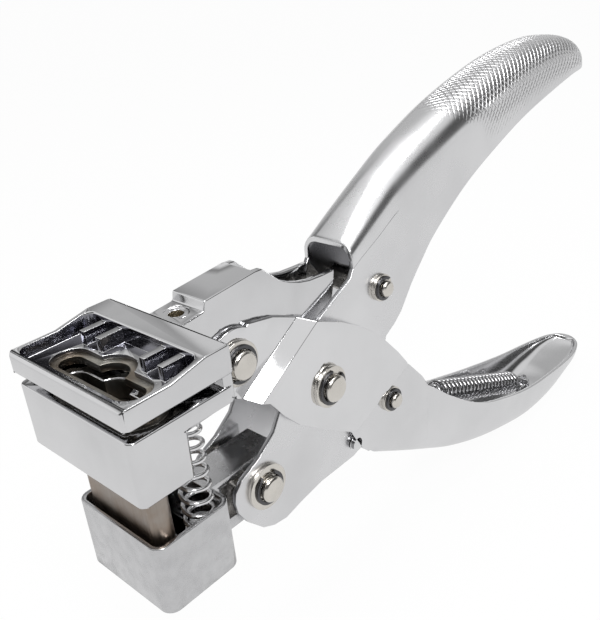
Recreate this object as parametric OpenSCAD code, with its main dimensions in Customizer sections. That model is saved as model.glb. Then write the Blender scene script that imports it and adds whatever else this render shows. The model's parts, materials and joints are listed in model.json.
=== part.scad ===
// Hand punch for euro-slot hang holes: a cast head with a die, a punch in a sliding
// carrier, and two long handles that close on each other like a pair of pliers.
// +X runs from the head to the handles, +Z from the carrier's underside to the head's top.
// The origin is the middle of the carrier cup's flat underside.

/* [Hole] */
// Length of the slot that the punch cuts
slot_l = 30; // [24:0.5:32]
// Width of the slot
slot_w = 6; // [4.5:0.5:7]
// Diameter of the round bulge in the middle of the slot
bulge_d = 10; // [8:0.5:11]
// Distance of the bulge's centre behind the slot's middle line
bulge_shift = 2; // [1:0.5:3]
// Clearance round the punch in its guide
guide_play = 0.2; // [0.1:0.05:0.4]
// Clearance between the punch and the die
die_play = 0.12; // [0.08:0.02:0.2]

/* [Head] */
// Width of the head
head_w = 46; // [44:1:54]
// Length of the top plate
plate_l = 30.5; // [29.5:0.5:34]
// Thickness of the top plate at its front edge
plate_t = 5.4; // [5:0.2:6.5]
// Rise of the top plate towards the neck
plate_rise = 2; // [0:0.5:3]
// Height of the head's front edge above the carrier's underside
head_z = 64; // [63:0.5:68]
// Middle line of the slot, from the head's front edge
slot_x = 10; // [9.5:0.5:12]
// Thickness of the rim round the recess in the top plate
rim = 1.5; // [1.2:0.1:2]
// Floor thickness of the recess
recess_floor = 2.2; // [1.8:0.1:2.6]
// Thickness of the four ribs in the recess
rib_t = 2; // [1.5:0.1:2.5]
// Height of the throat that takes the card
throat_h = 3.2; // [2.6:0.2:4]
// Thickness of the wall behind the throat
throat_back = 3.2; // [2.5:0.1:4]
// Height of the guide block under the throat
guide_h = 17; // [14:0.5:18]
// Height of the guide's rear shelf under the throat
shelf_h = 4.4; // [3.5:0.2:5]
// Thickness of the die plate
die_t = 2; // [1.6:0.2:2.4]
// Width of the die plate outside the hole
die_rim = 3.5; // [2.8:0.1:3.8]

/* [Arm] */
// Width of the arm over its two walls
arm_w = 12.4; // [11.6:0.2:13]
// Thickness of the arm's walls
arm_t = 2; // [1.6:0.2:2.4]
// Diameter of the tapped hole in the neck
tap_d = 4; // [3:0.5:4.5]
// Depth of the tapped hole
tap_l = 8; // [6:0.5:9]

/* [Linkage] */
// Main pivot, from the head's front edge
pivot_x = 72; // [72:0.5:74]
// Main pivot, below the head's front edge
pivot_drop = 34; // [33:0.5:35]
// Distance from the main pivot forwards to the drive pin
drive_reach = 25.5; // [25:0.25:26.5]
// Distance from the main pivot down to the drive pin
drive_drop = 20.5; // [20:0.25:21]
// Diameter of the drive roller
roller_d = 10; // [9.5:0.25:10.5]
// Clearance above and below the roller in its slot
roller_play = 0.7; // [0.6:0.1:0.9]
// Diameter of the main pivot pin
pivot_d = 8; // [7:0.25:9]
// Diameter of the arm pin
arm_pin_d = 8; // [7:0.25:9]
// Diameter of the drive pin
drive_d = 7.6; // [7:0.2:8]
// Diameter of the two handle pins
tie_d = 5; // [4.5:0.1:5.5]
// Outer diameter of the sleeves on the handle pins
sleeve_d = 8; // [7:0.25:8.5]
// Diameter of the spring pin
spring_pin_d = 4; // [3:0.25:4.5]
// Running clearance of a pin in its bore, on the radius
pin_play = 0.05; // [0.03:0.01:0.08]

/* [Sheet metal] */
// Thickness of the fan plates
fan_t = 1.5; // [1.2:0.1:1.6]
// Thickness of the handles' sheet
sheet_t = 1.5; // [1.2:0.1:1.6]
// Clearance between two plates that pass each other
plate_gap = 0.25; // [0.25:0.05:0.35]
// Half width of the upper grip
upper_grip = 12; // [11:0.25:13]
// Half width of the lower grip
lower_grip = 15.2; // [14.5:0.25:16.5]

/* [Fasteners] */
// Thickness of the washers
washer_t = 1.2; // [0.8:0.1:1.6]
// Width of a large washer outside its pin
washer_rim = 2.3; // [1.8:0.1:2.6]
// Width of a small washer outside its pin
small_rim = 1.75; // [1.5:0.05:1.9]
// Thickness of the clips
clip_t = 0.8; // [0.6:0.1:1]
// Length of pin that stands outside a clip
pin_end = 1.6; // [1.2:0.1:2]

/* [Carrier] */
// Length of the carrier cup along X
cup_l = 24; // [23:0.5:26]
// Width of the carrier cup
cup_w = 34; // [34:0.5:40]
// Height of the carrier cup
cup_h = 20.4; // [16:0.4:21]
// Wall of the carrier cup
cup_wall = 1.3; // [1:0.1:1.5]
// Floor of the carrier cup
cup_floor = 4; // [3.5:0.25:5]
// Distance of the cup's front face behind the head's front edge
cup_setback = 4.5; // [4:0.25:4.5]
// Height of the punch above the cup's floor
punch_h = 45.5; // [44.5:0.25:46]
// Height of the lug that the roller drives
lug_h = 17.5; // [17.3:0.1:18.5]
// Width of the lug
lug_w = 12; // [10:0.5:15]
// Diameter of the punch screws
screw_d = 3; // [2.5:0.25:3.5]

/* [Springs] */
// Outer diameter of the return springs
coil_d = 8.8; // [7.6:0.2:9]
// Wire of the return springs
coil_wire = 1; // [0.8:0.1:1.2]
// Turns of a return spring
coil_turns = 9; // [7:1:10]
// Outer diameter of the handle spring
pull_d = 7.8; // [7:0.2:8.4]
// Wire of the handle spring
pull_wire = 1; // [0.8:0.1:1.1]
// Turns of the handle spring, with its tapered ends
pull_turns = 40; // [30:1:42]

/* [Hidden] */
big = 200;

// Datum: x of the head's front edge and heights of the head's layers
hx = -(cup_setback + cup_l / 2);
die_z = head_z - plate_t - 1;
throat_top = head_z - plate_t;
throat_z = throat_top - throat_h;
guide_z = throat_z - guide_h;
shelf_z = throat_z - shelf_h;
floor_z = throat_top + recess_floor;
rise_z = head_z + plate_rise;
guide_w = head_w - 1;
throat_l = plate_l - throat_back;
recess_l = plate_l - 8;
sx = hx + slot_x;
bx = sx + bulge_shift;

// Pin centres as [x, z]
P0 = [hx + pivot_x, head_z - pivot_drop];
drive = P0 + [-drive_reach, -drive_drop];
arm_pt = P0 + [-28, 19.5];
upper_pt = P0 + [30, 18.5];
lower_pt = P0 + [30, -20.5];
spring_pt = P0 + [10, -17.5];

// Layers from the middle outwards, as distances |y|
arm_y = arm_w / 2;
fan_in = arm_y;
lever_in = fan_in + fan_t + plate_gap;
lever_out = lever_in + sheet_t;
lower_in = lever_out + plate_gap;
lower_out = lower_in + sheet_t;
fan_out = lower_out;

// Closed position of the drive pin
close_deg = 30;
shut_x = P0[0] - drive_reach * cos(close_deg) - drive_drop * sin(close_deg);
stroke = drive_drop - drive_drop * cos(close_deg) + drive_reach * sin(close_deg);

// Seats of the return springs
seat_x = hx + 22.2;
seat_y = 11;
seat_h = 13;
coil_r = (coil_d - coil_wire) / 2;

// Cross-sections and small helpers
module plan_slot(grow) {
  w = slot_w / 2 + grow;
  for (s = [-1, 1])
    translate([sx, s * (slot_l - slot_w) / 2]) circle(r = w, $fn = 48);
  translate([sx - w, -(slot_l - slot_w) / 2]) square([2 * w, slot_l - slot_w]);
  translate([bx, 0]) circle(r = bulge_d / 2 + grow, $fn = 64);
}

module round_rect(x0, x1, w, r) {
  translate([x0 + r, -w / 2]) square([x1 - x0 - 2 * r, w]);
  translate([x0, -w / 2 + r]) square([x1 - x0, w - 2 * r]);
  for (x = [x0 + r, x1 - r])
    for (s = [-1, 1])
      translate([x, s * (w / 2 - r)]) circle(r = r, $fn = 40);
}

// Extrudes an outline in the XZ plane between two y values
module side_plate(y0, y1) {
  translate([0, y1, 0]) rotate([90, 0, 0]) linear_extrude(y1 - y0) children();
}

module both_sides(y0, y1) {
  side_plate(y0, y1) children();
  side_plate(-y1, -y0) children();
}

module cross_hole(p, r) {
  translate([p[0], big / 2, p[1]]) rotate([90, 0, 0]) cylinder(r = r, h = big, $fn = 64);
}

module bar(a, b, w) {
  d = (b - a) / norm(b - a);
  n = [-d[1], d[0]] * w;
  polygon([a + n, a - n, b - n, b + n]);
  translate(b) circle(r = w, $fn = 48);
}

// Head
module head_plate() {
  intersection() {
    side_plate(-head_w / 2, head_w / 2)
      polygon([[hx, throat_top], [hx, head_z - 1], [hx + 1, head_z], [hx + plate_l - 17.5, head_z],
        [hx + plate_l - 7.5, rise_z], [hx + plate_l - 0.8, rise_z], [hx + plate_l, rise_z - 0.8],
        [hx + plate_l, throat_top]]);
    translate([0, 0, throat_top - 1]) linear_extrude(big)
      round_rect(hx, hx + plate_l, head_w, 1.4);
  }
}

module recess() {
  difference() {
    translate([0, 0, floor_z]) linear_extrude(big)
      round_rect(hx + rim, hx + recess_l, head_w - 2 * rim, 3);
    for (y = [-15.3, -8.6, 8.6, 15.3])
      translate([hx + recess_l - 6.4, y - rib_t / 2, floor_z - 1])
        cube([10, rib_t, head_z + 0.5 - floor_z + 1]);
  }
}

module guide_block() {
  translate([0, 0, guide_z]) linear_extrude(guide_h)
    round_rect(hx + 0.5, hx + 16, guide_w, 2);
  translate([bx, 0, guide_z]) cylinder(r = bulge_d / 2 + 4, h = guide_h, $fn = 72);
  translate([0, 0, shelf_z]) linear_extrude(shelf_h)
    round_rect(hx + 6, hx + plate_l, guide_w, 2);
  translate([hx + throat_l, -guide_w / 2 + 0.3, shelf_z + 0.5])
    cube([plate_l - throat_l - 0.3, guide_w - 0.6, throat_top - shelf_z]);
}

arm_top = [[hx + 29, rise_z - 0.4], [hx + plate_l, rise_z - 0.1], P0 + [-38, 36.2],
  P0 + [-33.7, 39], P0 + [-17, 40.4], P0 + [-14.3, 40.2]];
arm_rear = [P0 + [-11.5, 37.6], P0 + [-8.4, 34.8], P0 + [-4.5, 32.7], P0 + [-1, 31.4],
  P0 + [3, 30.4], P0 + [8.3, 29.9], P0 + [13.5, 29.7], P0 + [13, 26], P0 + [11.2, 20],
  P0 + [10.6, 12], P0 + [10.8, 0]];
arm_low = [P0 + [-10, -2], P0 + [-15, 7], P0 + [-24, 8.6], P0 + [-34, 9.2],
  P0 + [-38.5, 14], [hx + plate_l, shelf_z + 0.4], [hx + 29, shelf_z + 0.4]];

module arm_side() {
  polygon(concat(arm_top, arm_rear, arm_low));
  translate(P0) circle(r = 11, $fn = 72);
  bar(P0, lower_pt, 4.5);
}

module arm_hollow() {
  inner = arm_y - arm_t;
  side_plate(-inner, inner)
    polygon([P0 + [-33, -40], P0 + [-33, 36.6], P0 + [-17, 38], P0 + [-12, 60],
      P0 + [45, 60], P0 + [45, -40]]);
}

module head_casting() color("lightsteelblue") {
  difference() {
    union() {
      head_plate();
      guide_block();
      difference() {
        side_plate(-arm_y, arm_y) arm_side();
        arm_hollow();
      }
    }
    recess();
    translate([0, 0, throat_top - 1]) linear_extrude(big) plan_slot(2);
    translate([0, 0, die_z]) linear_extrude(die_t + 0.02) plan_slot(die_rim + 0.04);
    translate([0, 0, guide_z - 1]) linear_extrude(guide_h + 2) plan_slot(guide_play);
    translate([hx + plate_l + 3, 0, rise_z - tap_l])
      cylinder(d = tap_d, h = big, $fn = 48);
    translate([hx + plate_l + 3, 0, rise_z])
      cylinder(d = tap_d + 3, h = big, $fn = 48);
    cross_hole(P0, pivot_d / 2 + pin_play);
    cross_hole(arm_pt, arm_pin_d / 2 + pin_play);
    cross_hole(lower_pt, tie_d / 2 + pin_play);
  }
}

module die_plate() color("dimgray") {
  translate([0, 0, die_z]) linear_extrude(die_t) difference() {
    plan_slot(die_rim);
    plan_slot(die_play);
  }
}

// Fan plates: flat on the arm, then stepped outwards over the handles
fan_rim = [[-22.5, 28.3], [-13.5, 26.5], [0.4, 20.5], [8.5, 16.7], [16, 12.1],
  [22, 7.6], [27.5, 2.2], [33.6, -4.6], [38.2, -10.6], [38.6, -12],
  [23.5, -17.5], [11.5, -21.9], [10, -21.9], [-2.7, -13.8], [-12.6, -6.5],
  [-18, -0.6], [-22.8, 5.9], [-29.3, 9.1]];
fan_lobe = [for (a = [250 : -10 : 60]) arm_pt - P0 + 9.5 * [cos(a), sin(a)]];
fan_turn = 31.4;
fan_step = 19;

module fan_outline() {
  translate(P0) polygon(concat(fan_rim, fan_lobe));
}

// Section of the stepped sheet, across the bend line, with the far part inside
module fan_sheet() {
  y0 = fan_in;
  y1 = fan_out;
  n = fan_step;
  translate([P0[0], 0, P0[1]]) rotate([0, -fan_turn, 0])
    translate([-60, 0, 0]) rotate([90, 0, 90]) linear_extrude(140)
      polygon([[y0, 60], [y0, n + 2.6], [y1, n], [y1, -60], [y1 + fan_t, -60],
        [y1 + fan_t, n + 0.55], [y0 + fan_t, n + 3.15], [y0 + fan_t, 60]]);
}

module fan_plate() {
  difference() {
    intersection() {
      fan_sheet();
      side_plate(0, 30) fan_outline();
    }
    cross_hole(P0, pivot_d / 2 + pin_play);
    cross_hole(arm_pt, arm_pin_d / 2 + pin_play);
  }
}

module cheek_plate_left() color("silver") fan_plate();
module cheek_plate_right() color("silver") mirror([0, 1, 0]) fan_plate();

// Lofts: each station is [x, z of the web, z of the open edge, half width, corner radius]
function blend4(a, b, c, d, t) = 0.5 * (2 * b + (c - a) * t + (2 * a - 5 * b + 4 * c - d) * t * t
  + (3 * b - a - 3 * c + d) * t * t * t);
function smooth(s, n) = [for (i = [0 : len(s) - 2]) for (j = [0 : n - 1])
  blend4(s[max(i - 1, 0)], s[i], s[i + 1], s[min(i + 2, len(s) - 1)], j / n), s[len(s) - 1]];
function corner(y, z, r, a, k, up) = [for (i = [0 : k])
  [y + r * cos(a + 90 * i / k), z + up * r * sin(a + 90 * i / k)]];
function ring(s, k, up) = let (w = s[3], r = min(s[4], w - 0.2, abs(s[1] - s[2]) - 0.3),
  z = s[1] - up * r)
  [for (p = concat([[w, s[2]]], corner(w - r, z, r, 0, k, up),
    corner(r - w, z, r, 90, k, up), [[-w, s[2]]])) [s[0], p[0], p[1]]];

module loft(stations, k, up) {
  rings = [for (s = stations) ring(s, k, up)];
  m = len(rings[0]);
  n = len(rings);
  pts = [for (g = rings) for (p = g) p];
  sides = [for (i = [0 : n - 2]) for (j = [0 : m - 1]) let (a = i * m + j,
    b = i * m + (j + 1) % m) each [[a, a + m, b], [b, a + m, b + m]]];
  first = [for (j = [1 : m - 2]) [0, j, j + 1]];
  last = [for (j = [1 : m - 2]) let (o = (n - 1) * m) [o, o + j + 1, o + j]];
  faces = concat(sides, first, last);
  translate([P0[0], 0, P0[1]])
    polyhedron(points = pts, faces = up > 0 ? faces : [for (f = faces) [f[2], f[1], f[0]]]);
}

function inside(s, up) = [for (g = s) [g[0], g[1] - up * sheet_t, g[2] - up * 9,
  g[3] - sheet_t, max(g[4] - sheet_t, 0.6)]];

ug = upper_grip;
upper_stations = [[18, 36, 27.5, lever_out - 0.05, 5], [26, 41.5, 17, lever_out - 0.05, 6.5],
  [34, 46.5, 11, lever_out - 0.05, 7.5], [41, 50.8, 9, lever_out, 8.5],
  [50, 55.1, 18.3, lever_out + 0.6, 9], [58, 58.4, 26.4, ug - 1.4, 9.5],
  [75, 64.4, 37.8, ug - 0.6, 10], [94, 69.7, 46.2, ug, 11], [114, 73.8, 52.7, ug, 11],
  [136, 75.6, 57.7, ug, 11], [150, 74.6, 60.3, ug - 0.1, 11], [158, 73, 61, ug - 0.6, 10.5],
  [164, 70.8, 61, ug - 2.8, 8.5], [168, 68, 60.8, ug - 5, 6.3], [171, 65, 60.5, ug - 7.6, 4],
  [172.5, 63, 60.5, ug - 9.8, 2]];
lg = lower_grip;
lower_stations = [[22, -37.6, -27, lower_out - 0.05, 2], [39, -47.6, -20, lower_out - 0.05, 3],
  [52, -54.8, -27, lower_out, 3.5], [66, -61.7, -38.5, lg - 3, 4],
  [82.7, -67.6, -49.6, lg - 1.2, 5], [101.5, -72.6, -56.5, lg, 6], [122, -77.8, -62.3, lg, 7.5],
  [145, -80.2, -67, lg - 1.6, 7.5], [162, -78.2, -69.6, lg - 2.8, 6.5], [172, -76.8, -70.8, lg - 4, 5],
  [178, -75.9, -71.2, lg - 5.6, 4], [183, -75, -71.3, lg - 7.7, 3.2],
  [186.5, -73.9, -71.2, lg - 10.2, 2.2], [188, -73, -71, lg - 12, 1.5]];

module grip(stations, up) {
  s = smooth(stations, 3);
  hollow = smooth([for (i = [0 : len(stations) - 3]) stations[i]], 3);
  front = [s[0] - [3, 0, 0, 0, 0] - (s[1] - s[0]) * 0.5];
  difference() {
    loft(s, 5, up);
    loft(inside(concat(front, hollow), up), 5, up);
  }
}

lever_rim = [[18.2, 29], [16.5, 26.3], [9.5, 23], [2.2, 19.7], [-12, 7],
  [-15.5, 1], [-20, -6], [-26.5, -10.8], [-33.4, -13.8], [-36.2, -16.6], [-36.9, -19.6],
  [-36.3, -23.2], [-33.6, -28],
  [-28.2, -33.8], [-24, -35.8], [-19.1, -36.5], [-12.3, -35], [-3, -33.6], [12.5, -33.6],
  [17.8, -32.1], [32.1, 0.9], [36.5, 3.2], [40.5, 6.2], [46, 13], [46.5, 38], [44, 41],
  [38, 38.5], [30, 34.5], [22, 31]];

module upper_handle() color("gainsboro") {
  difference() {
    union() {
      grip(upper_stations, 1);
      both_sides(lever_in, lever_out) translate(P0) polygon(lever_rim);
    }
    cross_hole(P0, pivot_d / 2 + pin_play);
    cross_hole(drive, drive_d / 2 + pin_play);
    cross_hole(upper_pt, tie_d / 2 + pin_play);
    cross_hole(spring_pt, spring_pin_d / 2 + pin_play);
  }
}

lower_rim = [[4, 9], [10, 6.5], [24, -0.5], [36, -8.8], [41.6, -13.7], [48.7, -21.6],
  [51.5, -26], [51, -48.5], [45, -47], [39, -44.3], [30, -39.3], [22.4, -35.4], [18, -34.3],
  [14.6, -31],
  [12.4, -27], [9, -20], [-6, -8.2]];
tab_pt = [144, -75.2];
tail_r = 2;

module lower_handle() color("gainsboro") {
  difference() {
    union() {
      grip(lower_stations, -1);
      both_sides(lower_in, lower_out) {
        translate(P0) polygon(lower_rim);
        translate(P0) circle(r = 10.4, $fn = 72);
      }
      translate([P0[0] + tab_pt[0] - 0.7, -3, P0[1] + tab_pt[1] - tail_r - 2.6]) cube([1.4, 6, 5.8]);
    }
    cross_hole(P0, pivot_d / 2 + pin_play);
    cross_hole(lower_pt, tie_d / 2 + pin_play);
    cross_hole(P0 + [13, -28.6], 2);
    translate([P0[0] + tab_pt[0] - 3, 0, P0[1] + tab_pt[1] - tail_r])
      rotate([0, 90, 0]) cylinder(r = 1.2, h = 6, $fn = 32);
  }
}

// Pins, washers and clips; seat is the outer face of the stack that the washer lies on
function groove(seat) = seat + washer_t;
function pin_tip(seat) = groove(seat) + clip_t + 0.1 + pin_end;

module pin(p, r, seat) {
  g0 = groove(seat);
  g1 = g0 + clip_t + 0.1;
  l = pin_tip(seat);
  q = r - 0.7;
  c = 0.6;
  translate([p[0], 0, p[1]]) rotate([90, 0, 0]) rotate_extrude($fn = 64)
    polygon([[0, -l], [r - c, -l], [r, c - l], [r, -g1], [q, -g1], [q, -g0], [r, -g0],
      [r, g0], [q, g0], [q, g1], [r, g1], [r, l - c], [r - c, l], [0, l]]);
}

module washers(p, r, rim_w, seat) {
  both_sides(seat, seat + washer_t) translate(p) difference() {
    circle(r = r + rim_w, $fn = 64);
    circle(r = r + pin_play, $fn = 64);
  }
}

module clips(p, r, seat, turn) {
  g = groove(seat);
  both_sides(g, g + clip_t) translate(p) rotate(turn) difference() {
    circle(r = r + 1.3, $fn = 48);
    circle(r = r + 0.25, $fn = 48);
    translate([0, -(r * 0.55)]) square([r * 3, r * 1.1]);
  }
  both_sides(g, g + clip_t) translate(p) rotate(turn) difference() {
    for (a = [75, 180, 285])
      rotate(a) translate([0, -r * 0.22]) square([r + 0.6, r * 0.44]);
    circle(r = r - 0.7 + pin_play, $fn = 48);
  }
}

module pivot_pin() color("khaki") pin(P0, pivot_d / 2, fan_out + fan_t);
module arm_pin() color("khaki") pin(arm_pt, arm_pin_d / 2, fan_in + fan_t);
module drive_pin() color("khaki") pin(drive, drive_d / 2, lever_out);
module upper_pin() color("khaki") pin(upper_pt, tie_d / 2, lever_out);
module lower_pin() color("khaki") pin(lower_pt, tie_d / 2, lower_out);
module pivot_washers() color("tan") washers(P0, pivot_d / 2, washer_rim, fan_out + fan_t);
module arm_washers() color("tan") washers(arm_pt, arm_pin_d / 2, washer_rim, fan_in + fan_t);
module drive_washers() color("tan") washers(drive, drive_d / 2, washer_rim + 0.7, lever_out);
module upper_washers() color("tan") washers(upper_pt, tie_d / 2, small_rim, lever_out);
module lower_washers() color("tan") washers(lower_pt, tie_d / 2, small_rim, lower_out);
module pivot_clips() color("gray") clips(P0, pivot_d / 2, fan_out + fan_t, 60);
module arm_clips() color("gray") clips(arm_pt, arm_pin_d / 2, fan_in + fan_t, 200);
module drive_clips() color("gray") clips(drive, drive_d / 2, lever_out, 90);
module upper_clips() color("gray") clips(upper_pt, tie_d / 2, lever_out, 20);
module lower_clips() color("gray") clips(lower_pt, tie_d / 2, lower_out, -40);

module spring_pin() color("gray") {
  y = lever_out - 0.05;
  side_plate(-y, y) translate(spring_pt) circle(r = spring_pin_d / 2, $fn = 48);
}

module drive_roller() color("gray") {
  y = lever_in - 0.1;
  side_plate(-y, y) translate(drive) difference() {
    circle(r = roller_d / 2, $fn = 64);
    circle(r = drive_d / 2 + pin_play, $fn = 64);
  }
}

module upper_sleeve() color("gray") {
  y = lever_in - 0.1;
  side_plate(-y, y) translate(upper_pt) difference() {
    circle(r = sleeve_d / 2, $fn = 64);
    circle(r = tie_d / 2 + pin_play, $fn = 64);
  }
}

module lower_sleeve() color("gray") {
  both_sides(arm_y + 0.05, lower_in - 0.05) translate(lower_pt) difference() {
    circle(r = sleeve_d / 2, $fn = 64);
    circle(r = tie_d / 2 + pin_play, $fn = 64);
  }
}

// Carrier: a sheet cup with a lug behind it, whose slot takes the roller
cup_x = -cup_l / 2;
lug_end = drive[0] + roller_d / 2 + 4;
slot_top = drive[1] + roller_d / 2 + roller_play;
slot_low = drive[1] - roller_d / 2 - roller_play;

module punch_carrier() color("lightgray") {
  difference() {
    union() {
      difference() {
        linear_extrude(cup_h) round_rect(cup_x, -cup_x, cup_w, 3.5);
        translate([0, 0, cup_floor]) linear_extrude(cup_h)
          round_rect(cup_x + cup_wall, -cup_x - cup_wall, cup_w - 2 * cup_wall, 2.2);
      }
      translate([-cup_x - 0.6, -lug_w / 2, 0]) cube([lug_end + cup_x + 0.6, lug_w, lug_h]);
      for (s = [-1, 1]) translate([seat_x, s * seat_y, cup_floor - 0.5]) {
        cylinder(d = coil_d, h = seat_h - cup_floor + 0.5, $fn = 48);
        cylinder(r = coil_r - coil_wire / 2 - 0.4, h = seat_h - cup_floor + 3, $fn = 48);
      }
    }
    side_plate(-lug_w, lug_w)
      polygon([[shut_x - roller_d / 2 - 0.8, slot_low], [drive[0] + roller_d / 2 + 0.8, slot_low],
        [drive[0] + roller_d / 2 + 0.8, slot_top], [shut_x - roller_d / 2 - 0.8, slot_top]]);
    for (s = [-1, 1]) translate([sx, s * slot_l * 0.3, -1]) {
      cylinder(r = screw_d / 2 + 0.1, h = cup_floor + 2, $fn = 40);
      cylinder(r = screw_d + 0.1, h = 3.2, $fn = 40);
    }
  }
}

module punch() color("rosybrown") {
  difference() {
    translate([0, 0, cup_floor]) linear_extrude(punch_h) plan_slot(0);
    translate([sx, -big / 2, cup_floor + punch_h + 17]) rotate([-90, 0, 0])
      cylinder(r = 17.6, h = big, $fn = 120);
    for (s = [-1, 1]) translate([sx, s * slot_l * 0.3, cup_floor - 1])
      cylinder(r = screw_d / 2 + 0.05, h = 9, $fn = 40);
  }
}

module punch_screws() color("dimgray") {
  for (s = [-1, 1]) translate([sx, s * slot_l * 0.3, 0.2]) difference() {
    union() {
      cylinder(r = screw_d, h = 2, $fn = 40);
      cylinder(r = screw_d / 2, h = cup_floor + 6, $fn = 40);
    }
    translate([0, 0, -1]) cylinder(r = screw_d * 0.45, h = 2.2, $fn = 6);
  }
}

// Springs: a tube of six sides carried along a path with a frame that does not twist
function unit(v) = v / norm(v);
function flat(v, t) = unit(v - (v * t) * t);
function tangents(p) = [for (i = [0 : len(p) - 1])
  unit(p[min(i + 1, len(p) - 1)] - p[max(i - 1, 0)])];
function carried(t, n0) = [for (i = 0, n = flat(n0, t[0]); i < len(t);
  i = i + 1, n = i < len(t) ? flat(n, t[i]) : n) n];

module tube(path, r, n0) {
  t = tangents(path);
  nv = carried(t, n0);
  k = 6;
  m = len(path);
  pts = [for (i = [0 : m - 1]) let (b = cross(t[i], nv[i])) for (j = [0 : k - 1])
    path[i] + r * (cos(360 * j / k) * nv[i] + sin(360 * j / k) * b)];
  sides = [for (i = [0 : m - 2]) for (j = [0 : k - 1]) let (a = i * k + j,
    b = i * k + (j + 1) % k) each [[a, a + k, b], [b, a + k, b + k]]];
  first = [for (j = [1 : k - 2]) [0, j, j + 1]];
  last = [for (j = [1 : k - 2]) let (o = (m - 1) * k) [o, o + j + 1, o + j]];
  polyhedron(points = pts, faces = concat(sides, first, last));
}

function own_gap(p, wire) = min([for (i = [0 : len(p) - 7])
  min([for (j = [i + 6 : min(i + 26, len(p) - 1)]) norm(p[i] - p[j])])]) - wire;

coil_z0 = seat_h + coil_wire / 2 + 0.06;
coil_z1 = shelf_z - coil_wire / 2 - 0.06;
function coil_path(y) = [for (i = [0 : coil_turns * 8])
  [seat_x + coil_r * cos(45 * i), y + coil_r * sin(45 * i),
    coil_z0 + (coil_z1 - coil_z0) * i / (coil_turns * 8)]];

module return_spring_left() color("silver")
  tube(coil_path(seat_y), coil_wire / 2, [1, 0, 0]);
module return_spring_right() color("silver")
  tube(coil_path(-seat_y), coil_wire / 2, [1, 0, 0]);

// Handle spring: hook round the spring pin, straight shank, coils, hook through the tab
pull_a = [spring_pt[0], 0, spring_pt[1]];
pull_b = [P0[0] + tab_pt[0], 0, P0[1] + tab_pt[1]];
pull_u = unit(pull_b - pull_a);
pull_v = [-pull_u[2], 0, pull_u[0]];
pull_r = (pull_d - pull_wire) / 2;
pull_len = norm(pull_b - pull_a);
hook_r = spring_pin_d / 2 + pull_wire / 2 + 0.3;
coil_from = pull_len - 83;
coil_to = pull_len - 8;
taper = 2;
function pull_radius(t) = pull_r * min(1, t / taper, (pull_turns - t) / taper);
function along(s, a, b) = pull_a + s * pull_u + a * pull_v + [0, b, 0];
front_hook = [for (i = [0 : 10]) let (a = -150 + 29 * i)
  along(-hook_r * cos(a), hook_r * sin(a), 0.55 - 0.11 * i)];
front_shank = [for (s = [hook_r + 2.5, 12, 30, coil_from - 4]) along(s, 0.2, 0)];
coils = [for (i = [0 : pull_turns * 8]) let (t = i / 8, r = pull_radius(t))
  along(coil_from + (coil_to - coil_from) * t / pull_turns, r * sin(45 * i), r * cos(45 * i))];
tail_shank = [along(pull_len - 6.4, 0, 0), along(pull_len - 4.6, -0.4, 0)];
tail_hook = [for (i = [0 : 9]) let (a = 45 + 30 * i)
  along(pull_len - tail_r * cos(a), -tail_r * sin(a), 0)];
pull_path = concat(front_hook, front_shank, coils, tail_shank, tail_hook);

module handle_spring() color("silver") tube(pull_path, pull_wire / 2, [0, 1, 0]);

echo(return_spring_gap = own_gap(coil_path(seat_y), coil_wire),
  handle_spring_gap = own_gap(pull_path, pull_wire), stroke = stroke);

head_casting();
die_plate();
cheek_plate_left();
cheek_plate_right();
lower_handle();
upper_handle();
pivot_pin();
arm_pin();
drive_pin();
upper_pin();
lower_pin();
spring_pin();
pivot_washers();
arm_washers();
drive_washers();
upper_washers();
lower_washers();
pivot_clips();
arm_clips();
drive_clips();
upper_clips();
lower_clips();
drive_roller();
upper_sleeve();
lower_sleeve();
punch_carrier();
punch();
punch_screws();
return_spring_left();
return_spring_right();
handle_spring();
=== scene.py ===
import json
import math

import bmesh
import bpy
from bpy.props import FloatProperty, FloatVectorProperty, IntProperty, PointerProperty
from bpy.types import Operator, Panel, PropertyGroup
from mathutils import Matrix, Vector


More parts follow.
